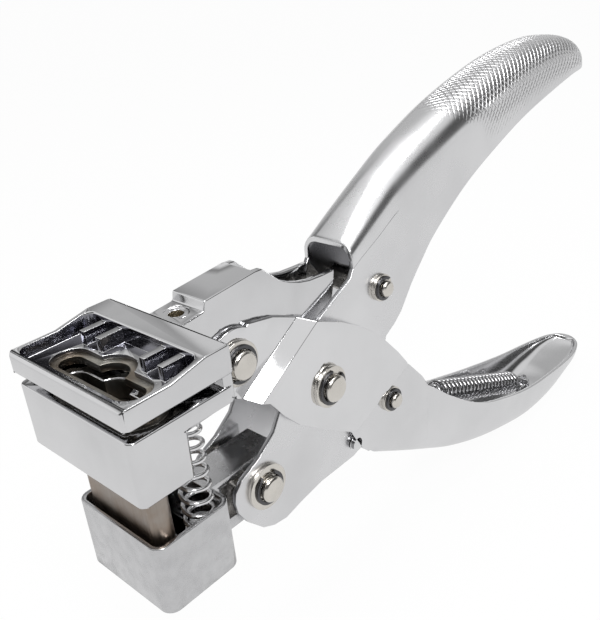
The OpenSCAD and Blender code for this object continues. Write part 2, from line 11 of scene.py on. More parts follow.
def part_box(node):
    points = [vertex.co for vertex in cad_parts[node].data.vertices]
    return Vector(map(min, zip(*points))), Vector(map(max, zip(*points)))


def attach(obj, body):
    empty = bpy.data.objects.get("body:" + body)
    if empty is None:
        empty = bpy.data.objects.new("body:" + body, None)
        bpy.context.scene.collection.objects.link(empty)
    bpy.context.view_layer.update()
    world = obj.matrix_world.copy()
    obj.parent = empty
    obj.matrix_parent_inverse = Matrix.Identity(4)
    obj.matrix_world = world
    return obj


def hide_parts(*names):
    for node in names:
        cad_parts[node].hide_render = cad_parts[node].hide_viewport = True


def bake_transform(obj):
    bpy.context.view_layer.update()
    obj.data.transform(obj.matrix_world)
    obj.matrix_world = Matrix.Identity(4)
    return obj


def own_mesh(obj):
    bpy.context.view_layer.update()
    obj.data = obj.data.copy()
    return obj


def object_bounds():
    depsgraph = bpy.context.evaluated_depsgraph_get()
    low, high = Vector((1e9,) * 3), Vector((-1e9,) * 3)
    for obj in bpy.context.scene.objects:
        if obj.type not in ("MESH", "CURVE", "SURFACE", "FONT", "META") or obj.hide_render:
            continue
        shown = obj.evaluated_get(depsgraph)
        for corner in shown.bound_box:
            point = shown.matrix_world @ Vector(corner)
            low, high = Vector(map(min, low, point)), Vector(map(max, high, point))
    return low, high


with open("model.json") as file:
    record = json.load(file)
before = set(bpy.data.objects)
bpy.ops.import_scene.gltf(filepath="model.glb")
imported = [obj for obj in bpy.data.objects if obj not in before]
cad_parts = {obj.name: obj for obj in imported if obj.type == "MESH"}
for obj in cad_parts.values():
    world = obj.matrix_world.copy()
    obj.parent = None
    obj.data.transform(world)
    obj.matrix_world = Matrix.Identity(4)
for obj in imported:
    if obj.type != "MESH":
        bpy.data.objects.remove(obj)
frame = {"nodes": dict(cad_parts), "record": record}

bl_info = {
    "name": "Hang-hole hand punch",
    "version": (1, 0, 0),
    "blender": (4, 5, 0),
    "location": "View3D > Sidebar > Hand Punch",
    "description": "Finishes a plated hand punch and sets its studio",
    "category": "Object",
}

MM = 0.001
CAD_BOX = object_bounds()

# Handles in millimetres from the main pivot, along X and Z.
# Walls are the distances of a plate's two faces from the middle plane.
# A grip's rows are x, web, open edge, half width and corner radius.
LEVER_WALLS = (7.95, 9.45)
LEVER_ROWS = [
    (18, 36, 27.5, 9.4, 5), (26, 41.5, 17, 9.4, 6.5), (34, 46.5, 11, 9.4, 7.5),
    (41, 50.8, 9, 9.43, 8.5), (50, 55.1, 18.3, 10.05, 9), (58, 58.4, 26.4, 10.6, 9.5),
    (75, 64.4, 37.8, 11.4, 10), (94, 69.7, 46.2, 12, 11), (114, 73.8, 52.7, 12, 11),
    (136, 75.6, 57.7, 12, 11), (150, 74.6, 60.3, 11.9, 11), (158, 73, 61, 11.4, 10.5),
    (164, 70.8, 61, 9.2, 8.5), (168, 68, 60.8, 7, 6.3), (171, 65, 60.5, 4.4, 4),
    (172.5, 63, 60.5, 2.2, 2)]
LEVER_RIM = [
    (18.2, 29), (16.5, 26.3), (9.5, 23), (2.2, 19.7), (-12, 7), (-15.5, 1), (-20, -6),
    (-26.5, -10.8), (-33.4, -13.8), (-36.2, -16.6), (-36.9, -19.6), (-36.3, -23.2),
    (-33.6, -28), (-28.2, -33.8), (-24, -35.8), (-19.1, -36.5), (-12.3, -35), (-3, -33.6),
    (12.5, -33.6), (17.8, -32.1), (32.1, 0.9), (36.5, 3.2), (40.5, 6.2), (46, 13),
    (46.5, 38), (44, 41), (38, 38.5), (30, 34.5), (22, 31)]
LOWER_WALLS = (9.7, 11.2)
LOWER_ROWS = [
    (22, -37.6, -27, 11.15, 2), (39, -47.6, -20, 11.15, 3), (52, -54.8, -27, 11.17, 3.5),
    (66, -61.7, -38.5, 12.2, 4), (82.7, -67.6, -49.6, 14, 5), (101.5, -72.6, -56.5, 15.2, 6),
    (122, -77.8, -62.3, 15.2, 7.5), (145, -80.2, -67, 13.6, 7.5), (162, -78.2, -69.6, 12.4, 6.5),
    (172, -76.8, -70.8, 11.2, 5), (178, -75.9, -71.2, 9.8, 4), (183, -75, -71.3, 7.9, 3.2),
    (186, -74.2, -71.3, 5.6, 2.6), (187.5, -73.4, -71.2, 3.4, 1.6), (188, -72.8, -71.1, 1.6, 0.8)]
LOWER_RIM = [
    (4, 9), (10, 6.5), (24, -0.5), (36, -8.8), (41.6, -13.7), (48.7, -21.6), (51.5, -26),
    (51, -48.5), (45, -47), (39, -44.3), (30, -39.3), (22.4, -35.4), (18, -34.3),
    (14.6, -31), (12.4, -27), (9, -20), (-6, -8.2)]
LOWER_EYE = 10.4
LOWER_EYE_ANGLES = range(230, 70, -8)
LOWER_HOLE = (13, -28.6, 2)
BORE_GAP = 0.05

# The knurl's zone on a grip: its start, slant and fade along X in millimetres, and the share
# of the grip's height that it leaves bare
KNURL_START = 74
KNURL_SLANT = 30
KNURL_FADE = 12
KNURL_BARE = 0.2

# Least corner radii and gaps of a grip's section, in millimetres
LEAST_CORNER = 0.6
CORNER_TO_SIDE = 0.2
CORNER_TO_EDGE = 0.3

# The neck behind the head, in millimetres from the main pivot, along X and Z
NECK_FRONT = (-41.5, 35.9)
NECK_FOOT = (-38, 36.2)
NECK_CREST = (-33.7, 39)
STEP_X = (-34.7, -34.2)

# Half width of the strip with the tapped hole, and how near a point counts as the same
SPOT_REACH = 4
SAME_SPOT = 0.1
SAME_HEIGHT = 0.01

# The head's tapped hole, recess and guide in metres
HOLE_X = 0.017
HOLE_WALL = 0.0022
HOLE_BOX = ((0.013, -0.004, 0.060), (0.021, 0.004, 0.070))
RECESS_BOX = ((CAD_BOX[0].x + 0.001, -0.0216, 0.057), (CAD_BOX[0].x + 0.0232, 0.0216, 0.0655))
GUIDE_HEIGHTS = (0.01, 0.057)
GUIDE_MARGIN = 0.001

# Loose triangles are joined within this distance in metres and this angle in degrees
SAME_PLACE = 0.000002
SAME_PLANE = 0.2

# Edges are rounded or kept sharp from these angles on, in degrees
ROUNDED_FROM = 32
SHARP_FROM = 16
GRIP_SHARP_FROM = 50

# Share of the full rounding that edges inside a fine box get
FINE_SHARE = 0.35

# A ceiling is a face that looks down and has more corners than this
LOOKS_DOWN = -0.9
CEILING_CORNERS = 8

# A wall's normal has less than this share along Z, and a cut edge's less than this across
# its sheet
WALL_SHARE = 0.3

# The handle spring in metres. Its coil and rear shank are measured from the rear hook, and
# its hooks are given by first angle, sweep and steps.
CAD_PULL_WIRE = 0.001
FRONT_ARC = (-150, 290, 30)
REAR_ARC = (45, 270, 27)
REAR_HOOK = 0.002
HOOK_GAP = 0.0002
HOOK_SIDE = 0.00075
HOOK_LEAD = 0.0025
SHANK_STOPS = (0.012, 0.030)
SHANK_SIDE = 0.0002
COIL_LEAD = 0.004
COIL_START = 0.083
COIL_STOP = 0.008
COIL_POINTS = 28
REAR_STOPS = ((0.0064, 0), (0.0046, -0.0004))
PULL_SIDES = 10

# The return springs: their turns, and the points on each turn
RETURN_TURNS = 9.0
RETURN_POINTS = 40

# The tab that holds the handle spring's rear hook, in metres along Y and Z
TAB_OUTLINE = [
    (-0.003, -0.0026), (0.003, -0.0026), (0.003, 0.0024), (0.0022, 0.0032), (-0.0022, 0.0032),
    (-0.003, 0.0024)]
TAB_HOLE = 0.0012
TAB_HALF = 0.0007
TAB_EDGE = 0.00015
TAB_DROP = 0.002

# Steps across a sheet's rounded edge, and round its holes in degrees
PLATE_FINENESS = 2
TAB_FINENESS = 4
HOLE_ANGLES = range(0, 360, 6)
TAB_ANGLES = range(0, 360, 15)

# Material slots of a grip: outside, cut edge and inside. On the upper handle the inside slot is
# painted darker as shade
GRIP_COATS = 3
INSIDE_COAT = 2

# Bump distances in metres and strengths
PLATING_BUMP = (0.0004, 0.25)
SCRATCH_BUMP = (0.00003, 0.3)
KNURL_STRENGTH = 0.8

# The knurl's lean and its groove's share of the pitch
KNURL_LEAN = 0.8
KNURL_GROOVE = 0.18

# Bands of noise that a surface's change runs over, and the grinding's scratches and tint
HAZE_BAND = (0.35, 0.7)
SHADE_BAND = (0.3, 0.75)
SHADE_LOW = 0.9
SCRATCH_BAND = (0.3, 0.7)
SCRATCH_SCALE = (3000, 3000, 60)
TINT_BAND = (0.4, 0.65)
TINT_SCALE = 90.0
HEAT_TINT = (0.80, 0.70, 0.62, 1)

# Plated coats: name, colour, cloud scale, polish, haze, waviness and grain
PLATED_COATS = {
    "lever": ("knurled plated handle", "plating", 34.0, 0.22, 0.34, 0.03, 0.06),
    "casting": ("plated casting", "casting", 55.0, 0.06, 0.13, 0.02, 0.05),
    "fan": ("polished fan plate", "plating", 30.0, 0.07, 0.13, 0.02, 0.04),
    "cup": ("mottled plated cup", "cup", 260.0, 0.14, 0.34, 0.10, 0.14),
    "handle": ("plated handle", "plating", 34.0, 0.12, 0.22, 0.03, 0.06),
    "nickel": ("warm nickel", "nickel", 200.0, 0.16, 0.30, 0.3, 0.12),
    "clip": ("dark clip steel", "clip", 300.0, 0.25, 0.40, 0.2, 0.10),
    "wire": ("bright spring wire", "plating", 240.0, 0.10, 0.22, 0.2, 0.08),
    # Painted shade: the handle spring is a darker copy of the bright spring wire, standing in for
    # the shade in the lower handle's channel
    "pull": ("spring wire darkened as painted shade", (0.5, 0.5, 0.51), 240.0, 0.10, 0.2, 0.2, 0.08),
    # Painted shade: cut sheet edges are darkened to stand in for the thin shadow lines along the
    # plates' edges
    "edge": ("sheet edge with painted shade", (0.36, 0.36, 0.37), 120.0, 0.2, 0.35, 0.02, 0.05),
    # Painted shade: the upper handle's inner skin is darkened to stand in for the shade inside
    # its channel
    "inside": ("handle inside with painted shade", (0.22, 0.22, 0.23), 60.0, 0.2, 0.35, 0.02, 0.05),
    # Painted shade: the head recess's walls are darkened to stand in for the shade inside the
    # recess
    "recess": ("recess wall with painted shade", (0.24, 0.24, 0.27), 90.0, 0.10, 0.2, 0.02, 0.05),
    "tap": ("bare tapped hole", (0.30, 0.26, 0.19), 300.0, 0.35, 0.5, 0.3, 0.2)}

# Ground coats: name, colour, lowest and highest roughness
GROUND_COATS = {
    "steel": ("ground tool steel", "tool_steel", 0.28, 0.46),
    "die": ("grey die steel", (0.30, 0.29, 0.26), 0.3, 0.5),
    # Painted shade: near-black walls inside the punch guide and the die stand in for the shade in
    # these holes
    "bore": ("bore with painted shade", (0.09, 0.088, 0.08), 0.3, 0.5)}

# Studio: colours as one grey, places and sizes in metres, lamps in watts. The floor glows by
# a share for the camera and in metal. The camera's spin is a rotation vector.
FLOOR_GREY = 0.82
FLOOR_REACH = 8
FLOOR_GAP = 0.0005
SEEN_BY_CAMERA = 0.96
SEEN_IN_METAL = 0.9
FLOOR_IN_METAL = 0.78
SKY = [(0.0, 0.80), (0.10, 0.80), (0.24, 0.10), (0.62, 0.06), (0.78, 0.75), (1.0, 0.80)]
REAR_TOWARD = (0.79, 0.61)
REAR_EDGE = (0.45, 0.80)
REAR_FOOT = (0.12, 0.30)
REAR_GREY = 0.55
WINDOW_TOWARD = (-0.47, 0.81, 0.35)
WINDOW_EDGE = (0.90, 0.96)
WINDOW_GREY = 0.9
LAMPS = [
    ("key", (-0.20, -0.50, 0.75), (0.08, 0, 0.03), (0.30, 0.30), 4.0),
    ("top", (0.15, 0.05, 0.80), (0.10, 0, 0.03), (0.50, 0.20), 3.0)]
CAMERA_PLACE = (-0.08201, -0.14084, 0.14485)
CAMERA_SPIN = (1.84724820, -0.878313208, 0.435368718)
CAMERA_LENS = 46.016
CAMERA_SENSOR = 36.0
CAMERA_CLIP = (0.01, 50)


# Sizes and colours

class PunchSizes(PropertyGroup):
    casting_edge: FloatProperty(
        name="Casting edge", description="Width of the rounding on the cast head's edges",
        default=0.0004, min=0, unit="LENGTH", precision=5)
    sheet_edge: FloatProperty(
        name="Sheet edge", description="Width of the rounding on the stamped sheet's edges",
        default=0.00025, min=0, unit="LENGTH", precision=5)
    pin_edge: FloatProperty(
        name="Pin edge", description="Width of the rounding on pins, washers and clips",
        default=0.00012, min=0, unit="LENGTH", precision=5)
    knurl_pitch: FloatProperty(
        name="Knurl pitch", description="Distance between two grooves of the knurled grip",
        default=0.0024, min=0.0005, unit="LENGTH", precision=5)
    knurl_depth: FloatProperty(
        name="Knurl depth", description="Depth of the knurled grip's grooves",
        default=0.0003, min=0, unit="LENGTH", precision=5)
    coil_wire: FloatProperty(
        name="Coil wire", description="Diameter of the return springs' wire",
        default=0.00125, min=0.0002, unit="LENGTH", precision=5)
    pull_wire: FloatProperty(
        name="Handle spring wire", description="Diameter of the handle spring's wire",
        default=0.0015, min=0.0002, unit="LENGTH", precision=5)
    pull_coil: FloatProperty(
        name="Handle spring coil", description="Outer diameter of the handle spring's coil",
        default=0.0098, min=0.004, unit="LENGTH", precision=5)
    pull_turns: IntProperty(
        name="Handle spring turns", description="Turns of the handle spring", default=25, min=6)
    wire_sides: IntProperty(
        name="Wire sides", description="Sides of a spring wire's section", default=12, min=6)


class PunchColours(PropertyGroup):
    plating: FloatVectorProperty(
        name="Plating", description="Colour of the bright plating",
        default=(0.80, 0.80, 0.81), subtype="COLOR", size=3, min=0, max=1)
    casting: FloatVectorProperty(
        name="Casting", description="Colour of the plated casting",
        default=(0.74, 0.74, 0.75), subtype="COLOR", size=3, min=0, max=1)
    cup: FloatVectorProperty(
        name="Cup", description="Colour of the carrier cup's mottled plating",
        default=(0.64, 0.64, 0.65), subtype="COLOR", size=3, min=0, max=1)
    nickel: FloatVectorProperty(
        name="Nickel", description="Colour of the pins and washers",
        default=(0.74, 0.71, 0.66), subtype="COLOR", size=3, min=0, max=1)
    tool_steel: FloatVectorProperty(
        name="Tool steel", description="Colour of the punch and the die",
        default=(0.36, 0.32, 0.285), subtype="COLOR", size=3, min=0, max=1)
    clip: FloatVectorProperty(
        name="Clips", description="Colour of the clips and screws",
        default=(0.11, 0.11, 0.115), subtype="COLOR", size=3, min=0, max=1)


def sizes():
    return bpy.context.scene.punch_sizes


def colours():
    return bpy.context.scene.punch_colours


# Shader groups

def new_group(name, inputs, outputs):
    group = bpy.data.node_groups.new(name, "ShaderNodeTree")
    for label, kind, value in inputs:
        socket = group.interface.new_socket(label, in_out="INPUT", socket_type=kind)
        if value is not None:
            socket.default_value = value
    for label, kind in outputs:
        group.interface.new_socket(label, in_out="OUTPUT", socket_type=kind)
    enter = group.nodes.new("NodeGroupInput")
    leave = group.nodes.new("NodeGroupOutput")
    return group, enter, leave


def feed(tree, value, socket):
    """Sets a socket to a number or links it to another node's output."""
    if isinstance(value, (int, float)):
        socket.default_value = value
    else:
        tree.links.new(value, socket)


def maths(tree, operation, *values):
    node = tree.nodes.new("ShaderNodeMath")
    node.operation = operation
    for i, value in enumerate(values):
        feed(tree, value, node.inputs[i])
    return node.outputs[0]


def noise(tree, vector, scale, detail, roughness):
    node = tree.nodes.new("ShaderNodeTexNoise")
    tree.links.new(vector, node.inputs["Vector"])
    feed(tree, scale, node.inputs["Scale"])
    node.inputs["Detail"].default_value = detail
    node.inputs["Roughness"].default_value = roughness
    return node.outputs["Fac"]


def ramp(tree, fac, low, high, out_low=0.0, out_high=1.0):
    node = tree.nodes.new("ShaderNodeMapRange")
    tree.links.new(fac, node.inputs["Value"])
    node.inputs["From Min"].default_value = low
    node.inputs["From Max"].default_value = high
    feed(tree, out_low, node.inputs["To Min"])
    feed(tree, out_high, node.inputs["To Max"])
    return node.outputs["Result"]


def plating_group():
    """Cloudy plating: colour, roughness and a faint waviness that change over the surface."""
    group, enter, leave = new_group("plated_surface", [
        ("Vector", "NodeSocketVector", None), ("Base", "NodeSocketColor", (0.8, 0.8, 0.8, 1)),
        ("Cloud Scale", "NodeSocketFloat", 60.0), ("Grain Scale", "NodeSocketFloat", 1400.0),
        ("Polish", "NodeSocketFloat", 0.08), ("Haze", "NodeSocketFloat", 0.22),
        ("Waviness", "NodeSocketFloat", 0.3), ("Grain", "NodeSocketFloat", 0.1)],
        [("Color", "NodeSocketColor"), ("Roughness", "NodeSocketFloat"),
         ("Height", "NodeSocketFloat")])
    vector = enter.outputs["Vector"]
    cloud = noise(group, vector, enter.outputs["Cloud Scale"], detail=4, roughness=0.55)
    grain = noise(group, vector, enter.outputs["Grain Scale"], detail=2, roughness=0.6)
    rough = ramp(group, cloud, *HAZE_BAND, enter.outputs["Polish"], enter.outputs["Haze"])
    rough = maths(group, "MULTIPLY_ADD", maths(group, "SUBTRACT", grain, 0.5),
                  enter.outputs["Grain"], rough)
    group.links.new(rough, leave.inputs["Roughness"])
    shade = ramp(group, cloud, *SHADE_BAND, 1.0, SHADE_LOW)
    colour = group.nodes.new("ShaderNodeMixRGB")
    colour.blend_type = "MULTIPLY"
    colour.inputs["Fac"].default_value = 1.0
    group.links.new(enter.outputs["Base"], colour.inputs["Color1"])
    group.links.new(shade, colour.inputs["Color2"])
    group.links.new(colour.outputs["Color"], leave.inputs["Color"])
    wave = maths(group, "MULTIPLY", cloud, enter.outputs["Waviness"])
    fine = maths(group, "MULTIPLY", grain, enter.outputs["Grain"])
    group.links.new(maths(group, "ADD", wave, maths(group, "MULTIPLY", fine, 0.1)),
                    leave.inputs["Height"])
    return group


def knurl_group():
    """Two sets of slanted grooves that leave small diamonds between them."""
    group, enter, leave = new_group("diamond_knurl", [
        ("Vector", "NodeSocketVector", None), ("Pitch", "NodeSocketFloat", 0.0024),
        ("Mask", "NodeSocketFloat", 1.0)], [("Height", "NodeSocketFloat")])
    split = group.nodes.new("ShaderNodeSeparateXYZ")
    group.links.new(enter.outputs["Vector"], split.inputs[0])
    along = split.outputs["X"]
    across = split.outputs["Y"]
    ridges = []
    for operation in ("ADD", "SUBTRACT"):
        slant = maths(group, operation, along, maths(group, "MULTIPLY", across, KNURL_LEAN))
        turn = maths(group, "DIVIDE", slant, enter.outputs["Pitch"])
        saw = maths(group, "PINGPONG", turn, 0.5)
        ridges.append(ramp(group, saw, 0.0, KNURL_GROOVE))
    low = maths(group, "MINIMUM", ridges[0], ridges[1])
    drop = maths(group, "SUBTRACT", 1.0, low)
    cut = maths(group, "MULTIPLY", drop, enter.outputs["Mask"])
    group.links.new(maths(group, "SUBTRACT", 1.0, cut), leave.inputs["Height"])
    return group


def grinding_group():
    """Fine scratches along one direction, with brown heat tint in patches."""
    group, enter, leave = new_group("ground_surface", [
        ("Vector", "NodeSocketVector", None), ("Base", "NodeSocketColor", (0.4, 0.35, 0.3, 1)),
        ("Low", "NodeSocketFloat", 0.3), ("High", "NodeSocketFloat", 0.5)],
        [("Color", "NodeSocketColor"), ("Roughness", "NodeSocketFloat"),
         ("Height", "NodeSocketFloat")])
    stretch = group.nodes.new("ShaderNodeMapping")
    stretch.inputs["Scale"].default_value = SCRATCH_SCALE
    group.links.new(enter.outputs["Vector"], stretch.inputs["Vector"])
    lines = noise(group, stretch.outputs["Vector"], 1.0, detail=3, roughness=0.6)
    patch = noise(group, enter.outputs["Vector"], TINT_SCALE, detail=3, roughness=0.6)
    rough = ramp(group, lines, *SCRATCH_BAND, enter.outputs["Low"], enter.outputs["High"])
    group.links.new(rough, leave.inputs["Roughness"])
    tint = group.nodes.new("ShaderNodeMixRGB")
    tint.blend_type = "MULTIPLY"
    tint.inputs["Color2"].default_value = HEAT_TINT
    group.links.new(ramp(group, patch, *TINT_BAND), tint.inputs["Fac"])
    group.links.new(enter.outputs["Base"], tint.inputs["Color1"])
    group.links.new(tint.outputs["Color"], leave.inputs["Color"])
    group.links.new(lines, leave.inputs["Height"])
    return group


GROUPS = {}


def group_named(name):
    makers = {"plated": plating_group, "knurl": knurl_group, "ground": grinding_group}
    if name not in GROUPS:
        GROUPS[name] = makers[name]()
    return GROUPS[name]


def start_material(name):
    material = bpy.data.materials.new(name)
    material.use_nodes = True
    tree = material.node_tree
    shader = tree.nodes["Principled BSDF"]
    place = tree.nodes.new("ShaderNodeTexCoord")
    return material, tree, shader, place.outputs["Object"]


def use_group(tree, name, vector, **values):
    node = tree.nodes.new("ShaderNodeGroup")
    node.node_tree = group_named(name)
    tree.links.new(vector, node.inputs["Vector"])
    for label, value in values.items():
        node.inputs[label.replace("_", " ")].default_value = value
    return node


def bump(tree, height, distance, strength, below=None):
    node = tree.nodes.new("ShaderNodeBump")
    node.inputs["Strength"].default_value = strength
    node.inputs["Distance"].default_value = distance
    tree.links.new(height, node.inputs["Height"])
    if below is not None:
        tree.links.new(below, node.inputs["Normal"])
    return node.outputs["Normal"]


def metal_surface(tree, shader, skin, normal):
    """Links a group's colour and roughness and a normal to a metal's shader."""
    tree.links.new(skin.outputs["Color"], shader.inputs["Base Color"])
    tree.links.new(skin.outputs["Roughness"], shader.inputs["Roughness"])
    tree.links.new(normal, shader.inputs["Normal"])
    shader.inputs["Metallic"].default_value = 1.0


def plated_material(name, base, cloud, polish, haze, waviness, grain, knurled):
    material, tree, shader, place = start_material(name)
    skin = use_group(tree, "plated", place, Base=(*base, 1), Cloud_Scale=cloud, Polish=polish,
                     Haze=haze, Waviness=waviness, Grain=grain)
    normal = bump(tree, skin.outputs["Height"], *PLATING_BUMP)
    if knurled:
        layout = tree.nodes.new("ShaderNodeUVMap")
        layout.uv_map = "grip"
        mask = tree.nodes.new("ShaderNodeAttribute")
        mask.attribute_name = "knurl"
        cut = use_group(tree, "knurl", layout.outputs["UV"], Pitch=sizes().knurl_pitch)
        tree.links.new(mask.outputs["Fac"], cut.inputs["Mask"])
        normal = bump(tree, cut.outputs["Height"], sizes().knurl_depth, KNURL_STRENGTH, normal)
    metal_surface(tree, shader, skin, normal)
    return material


def ground_material(name, base, low, high):
    material, tree, shader, place = start_material(name)
    skin = use_group(tree, "ground", place, Base=(*base, 1), Low=low, High=high)
    metal_surface(tree, shader, skin, bump(tree, skin.outputs["Height"], *SCRATCH_BUMP))
    return material


# Meshes

def placed(name, data):
    """A new object in the scene."""
    piece = bpy.data.objects.new(name, data)
    bpy.context.scene.collection.objects.link(piece)
    return piece


def merged_copy(node, name):
    """A copy of a CAD node's mesh with its loose triangles joined into flat faces."""
    mesh = frame["nodes"][node].data.copy()
    mesh.materials.clear()
    work = bmesh.new()
    work.from_mesh(mesh)
    bmesh.ops.remove_doubles(work, verts=work.verts, dist=SAME_PLACE)
    bmesh.ops.dissolve_limit(work, angle_limit=math.radians(SAME_PLANE), verts=work.verts,
                             edges=work.edges)
    work.to_mesh(mesh)
    work.free()
    return placed(name, mesh)


def baked(piece):
    """Turns a piece with modifiers into a plain mesh."""
    bpy.context.view_layer.update()
    graph = bpy.context.evaluated_depsgraph_get()
    mesh = bpy.data.meshes.new_from_object(piece.evaluated_get(graph), depsgraph=graph)
    if piece.type == "MESH":
        piece.modifiers.clear()
        piece.data = mesh
        return piece
    name = piece.name
    bpy.data.objects.remove(piece)
    return placed(name, mesh)


def weigh_edges(mesh, fine):
    """Splits ceilings and marks the edges to round, thinly inside a fine box, or to keep."""
    work = bmesh.new()
    work.from_mesh(mesh)
    ceilings = [face for face in work.faces
                if face.normal.z < LOOKS_DOWN and len(face.verts) > CEILING_CORNERS
                and any(inside_box(face.calc_center_median(), *box) for box in fine)]
    bmesh.ops.triangulate(work, faces=ceilings)
    weight = work.edges.layers.float.new("bevel_weight_edge")
    for edge in work.edges:
        if len(edge.link_faces) != 2:
            continue
        turn = math.degrees(edge.calc_face_angle(0.0))
        if turn > ROUNDED_FROM:
            edge[weight] = 1.0
            for box in fine:
                if all(inside_box(v.co, *box) for v in edge.verts):
                    edge[weight] = FINE_SHARE
        elif turn > SHARP_FROM:
            edge.smooth = False
    work.to_mesh(mesh)
    work.free()


def inside_box(spot, low, high):
    return all(a <= p <= b for p, a, b in zip(spot, low, high))


def rounded(node, name, body, material, width, fine=(), reshape=None):
    """Replaces a CAD node by a copy with rounded, evenly shaded edges."""
    piece = merged_copy(node, name)
    if reshape:
        reshape(piece.data)
    piece.data.materials.append(material)
    for face in piece.data.polygons:
        face.use_smooth = True
    weigh_edges(piece.data, fine)
    bevel = piece.modifiers.new("edge", "BEVEL")
    bevel.width = width
    bevel.segments = 2
    bevel.limit_method = "WEIGHT"
    bevel.use_clamp_overlap = False
    bevel.harden_normals = True
    bevel.miter_outer = "MITER_ARC"
    piece = baked(piece)
    low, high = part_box(node)
    for vertex in piece.data.vertices:
        vertex.co = [min(max(p, a), b) for p, a, b in zip(vertex.co, low, high)]
    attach(piece, body)
    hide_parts(node)
    return piece


def upright_step(mesh):
    """Stands the arm's step upright behind the tapped hole, where the CAD has a slope."""
    origin = pivot()
    work = bmesh.new()
    work.from_mesh(mesh)
    feet = []
    rise = (NECK_FOOT[1] - NECK_FRONT[1]) / (NECK_FOOT[0] - NECK_FRONT[0])
    for v in work.verts:
        x = (v.co.x - origin.x) / MM
        z = (v.co.z - origin.z) / MM
        outside = abs(v.co.y / MM) > SPOT_REACH
        if outside and math.hypot(x - NECK_FOOT[0], z - NECK_FOOT[1]) < SAME_SPOT:
            v.co.x = origin.x + STEP_X[0] * MM
            v.co.z = origin.z + (NECK_FOOT[1] + rise * (STEP_X[0] - NECK_FOOT[0])) * MM
            feet.append(v)
        elif outside and math.hypot(x - NECK_CREST[0], z - NECK_CREST[1]) < SAME_SPOT:
            v.co.x = origin.x + STEP_X[1] * MM
        elif (not outside and NECK_FOOT[0] - SAME_SPOT < x < STEP_X[0]
              and z > NECK_FOOT[1] - SAME_HEIGHT):
            v.co.z = origin.z + (NECK_FOOT[1] + rise * (x - NECK_FOOT[0])) * MM
    slope = set(feet[0].link_faces) & set(feet[1].link_faces)
    slope = max(slope, key=lambda face: max(v.co.z for v in face.verts))
    bmesh.utils.face_split(slope, feet[0], feet[1])
    work.to_mesh(mesh)
    work.free()


def middle(node):
    low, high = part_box(node)
    return (low + high) / 2


def spline(a, b, c, d, t):
    """A value on the smooth curve through four values, between the middle two."""
    return 0.5 * (2 * b + (c - a) * t + (2 * a - 5 * b + 4 * c - d) * t * t
                  + (3 * b - a - 3 * c + d) * t * t * t)


def smooth_rows(rows, steps):
    made = []
    last = len(rows) - 1
    for i in range(last):
        four = (rows[max(i - 1, 0)], rows[i], rows[i + 1], rows[min(i + 2, last)])
        for j in range(steps):
            made.append([spline(*values, j / steps) for values in zip(*four)])
    made.append(list(rows[last]))
    return made


def sweep(first, turn, steps):
    """Angles in radians from the first one on, in even steps."""
    return [math.radians(first + turn * i / steps) for i in range(steps + 1)]


def section(row, inset, up, arcs):
    """Points of a grip's U-shaped section, from one open edge over the web to the other."""
    x, web, rim, half, radius = row
    most = min(radius, half - CORNER_TO_SIDE, abs(web - rim) - CORNER_TO_EDGE)
    corner = max(most - inset, LEAST_CORNER)
    half = half - inset
    level = web - up * (inset + corner)
    points = [(half, rim)]
    for side, first in ((1, 0), (-1, 90)):
        for a in sweep(first, 90, arcs):
            points.append((side * (half - corner) + corner * math.cos(a),
                           level + up * corner * math.sin(a)))
    points.append((-half, rim))
    return [Vector((x, y, z)) for y, z in points]


def grip_faces(rings, deep, m):
    """Faces and rounded edges of a grip with m points in each ring and deep inner rings."""
    faces = []
    edges = []
    for i in range(rings - 1):
        for j in range(m - 1):
            a = i * m + j
            faces.append((a, a + m, a + m + 1, a + 1))
            if i < deep - 1:
                b = (rings + i) * m + j
                faces.append((b, b + 1, b + m + 1, b + m))
    for i in range(deep - 1):
        for j in (0, m - 1):
            a = i * m + j
            b = (rings + i) * m + j
            faces.append((a, b, b + m, a + m))
            edges += [(a, a + m), (b, b + m)]
    for a in range(m - 1):
        b = rings * m + a
        faces.append((a, a + 1, b + 1, b))
        edges += [(a, a + 1), (b, b + 1)]
    c = (deep - 1) * m
    d = (rings + deep - 1) * m
    faces.append(tuple(d + j for j in range(m)))
    edges.append((d, d + m - 1))
    faces.append((c, d, d + m - 1, c + m - 1, c + 2 * m - 1, c + m))
    for i in range(deep - 1, rings - 1):
        a = i * m
        edges += [(a, a + m), (a + m - 1, a + 2 * m - 1)]
        if i >= deep:
            faces.append((a, a + m - 1, a + 2 * m - 1, a + m))
    faces.append(tuple((rings - 1) * m + j for j in range(m)))
    return faces, edges


def grip_mesh(name, rows, up, wall, steps=6, arcs=8):
    """A stamped grip: outer skin, inner skin, open edges and a closed tip."""
    fine = smooth_rows(rows, steps)
    deep = len(smooth_rows(rows[:-2], steps))
    origin = pivot()
    outer = [section(row, 0, up, arcs) for row in fine]
    inner = [section(row, wall, up, arcs) for row in fine[:deep]]
    m = len(outer[0])
    points = [p * MM + origin for ring in outer + inner for p in ring]
    faces, edges = grip_faces(len(outer), deep, m)
    mesh = bpy.data.meshes.new(name)
    mesh.from_pydata(points, [], faces)
    for _ in range(GRIP_COATS):
        mesh.materials.append(None)
    # Inner skin faces take the inside slot, which on the upper handle is painted shade
    for face in mesh.polygons:
        if all(v >= len(outer) * m for v in face.vertices):
            face.material_index = INSIDE_COAT
    work = bmesh.new()
    work.from_mesh(mesh)
    bmesh.ops.recalc_face_normals(work, faces=work.faces)
    work.to_mesh(mesh)
    work.free()
    marked = {tuple(sorted(e)) for e in edges}
    weight = mesh.attributes.new("bevel_weight_edge", "FLOAT", "EDGE")
    for edge in mesh.edges:
        if tuple(sorted(edge.vertices)) in marked:
            weight.data[edge.index].value = 1.0
    lay_grip(mesh, outer, fine)
    return mesh


